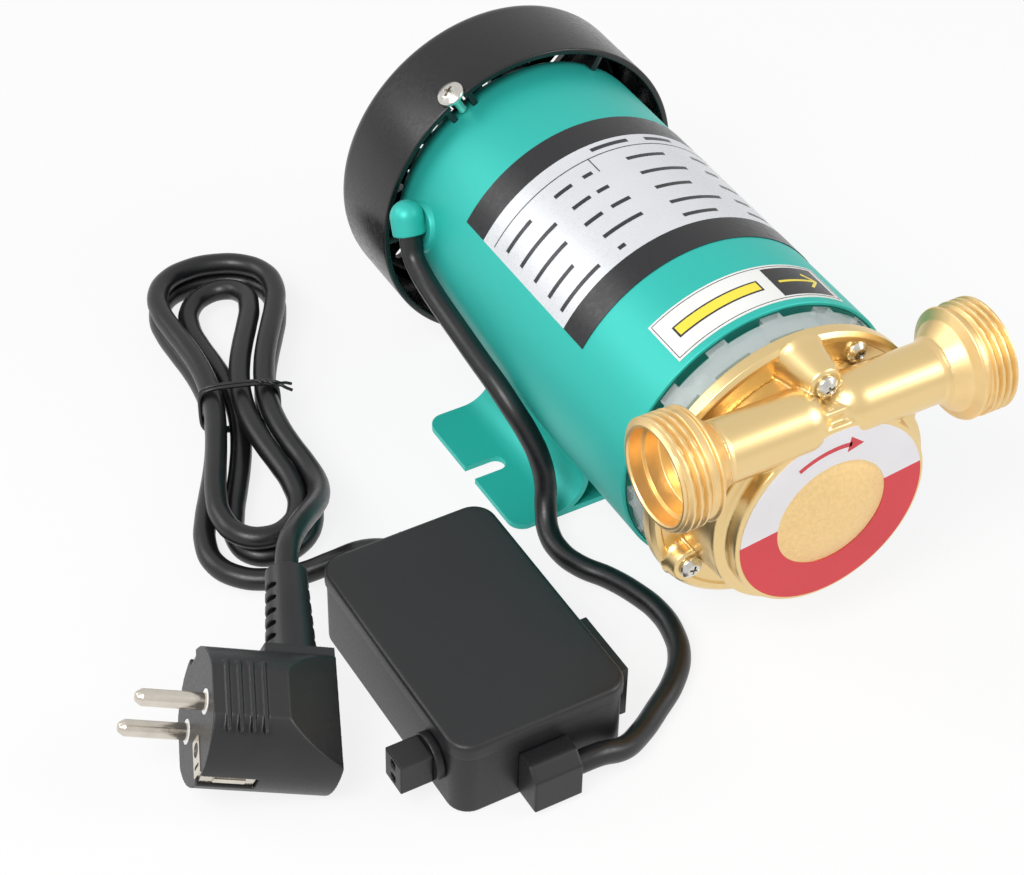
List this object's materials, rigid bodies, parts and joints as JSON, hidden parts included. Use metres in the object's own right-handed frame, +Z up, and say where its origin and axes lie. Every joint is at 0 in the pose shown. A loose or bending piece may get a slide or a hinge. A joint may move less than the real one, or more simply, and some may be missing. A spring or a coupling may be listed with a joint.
{
  "type": "hot-water booster pump",
  "caption": "Inline hot-water booster pump: green can motor on a foot, cast brass head with two threaded pipes, black fan cowl, control box and an angled mains plug on its lead.",
  "frame": {"origin": "centre of the foot's underside, on the surface that the pump stands on", "axes": "+X along the two pipes towards the outlet, -Y along the pump axis towards the brass head, +Z up"},
  "size_m": [0.2502, 0.2546, 0.105],
  "materials": {
    "can_paint": "satin green paint",
    "shield_paint": "dark green paint",
    "cowl_plastic": "moulded, half gloss",
    "clear_plastic": "clear moulded plastic",
    "cast_brass": "fine cast, satin",
    "screw_steel": "bright zinc",
    "shaft_steel": "ground",
    "lamination": "stacked sheets",
    "copper_wire": "enamelled copper",
    "rotor_aluminium": "die cast",
    "label_silver": "silver film",
    "label_white": "white film",
    "label_black": "printed black film",
    "label_red": "printed red film",
    "seal_ceramic": "lapped ceramic",
    "seal_carbon": "lapped carbon",
    "black_rubber": "smooth",
    "fan_plastic": "moulded",
    "cage_brass": "pressed",
    "box_plastic": "moulded, satin",
    "board_green": "laminate",
    "capacitor_film": "moulded shell",
    "relay_blue": "moulded",
    "cord_sheath": "soft sheath, satin",
    "plug_plastic": "moulded, satin",
    "pin_nickel": "nickel plated",
    "ring_white": "moulded"
  },
  "bodies": {
    "pump_unit": {"foot_bracket": "can_paint", "motor_housing": "can_paint", "lead_hood": "can_paint", "fan_cowl": "cowl_plastic", "cowl_screws": "screw_steel", "rating_label": "label_silver", "rating_bands": "label_black", "flow_label": "label_white", "flow_arrow_field": "label_black", "stator_core": "lamination", "stator_winding": "copper_wire", "front_shield": "shield_paint", "outer_races": "shaft_steel", "wave_washer": "shaft_steel", "clear_ring": "clear_plastic", "backplate": "cast_brass", "seal_seat": "seal_ceramic", "chamber_gasket": "black_rubber", "pump_casing": "cast_brass", "casing_screws": "screw_steel", "backplate_screws": "screw_steel", "disc_label": "label_red", "box_base": "box_plastic", "box_cover": "box_plastic", "box_screws": "screw_steel", "box_board": "board_green", "run_capacitor": "capacitor_film", "box_relay": "relay_blue", "box_gland_motor": "box_plastic", "box_gland_mains": "black_rubber", "sensor_grommet": "black_rubber", "sensor_connector": "box_plastic", "side_clip": "box_plastic", "motor_lead": "cord_sheath", "mains_lead_box": "cord_sheath", "mains_hank": "cord_sheath", "mains_lead_plug": "cord_sheath", "hank_tie": "black_rubber", "plug_body": "plug_plastic", "plug_relief": "plug_plastic", "plug_pins": "pin_nickel", "plug_pin_rings": "ring_white", "plug_earth_contacts": "pin_nickel"},
    "rotor": {"shaft": "shaft_steel", "rotor_core": "lamination", "rotor_rings": "rotor_aluminium", "inner_races": "shaft_steel", "impeller": "cast_brass", "impeller_nut": "screw_steel", "seal_head": "seal_carbon", "seal_spring": "shaft_steel", "water_slinger": "black_rubber", "cooling_fan": "fan_plastic", "fan_clip": "screw_steel"},
    "ball_set": {"bearing_balls": "shaft_steel", "ball_cages": "cage_brass"}
  },
  "joints": [
    {"name": "rotor_spin", "type": "hinge", "parent": "pump_unit", "child": "rotor", "pos_m": [0, 0, 0.053], "axis": [0, 1, 0], "continuous": true},
    {"name": "ball_set_spin", "type": "hinge", "parent": "pump_unit", "child": "ball_set", "pos_m": [0, 0, 0.053], "axis": [0, 1, 0], "continuous": true}
  ],
  "couplings": [
    {"joint": "ball_set_spin", "follows": "rotor_spin", "ratio": 0.3727}
  ]
}
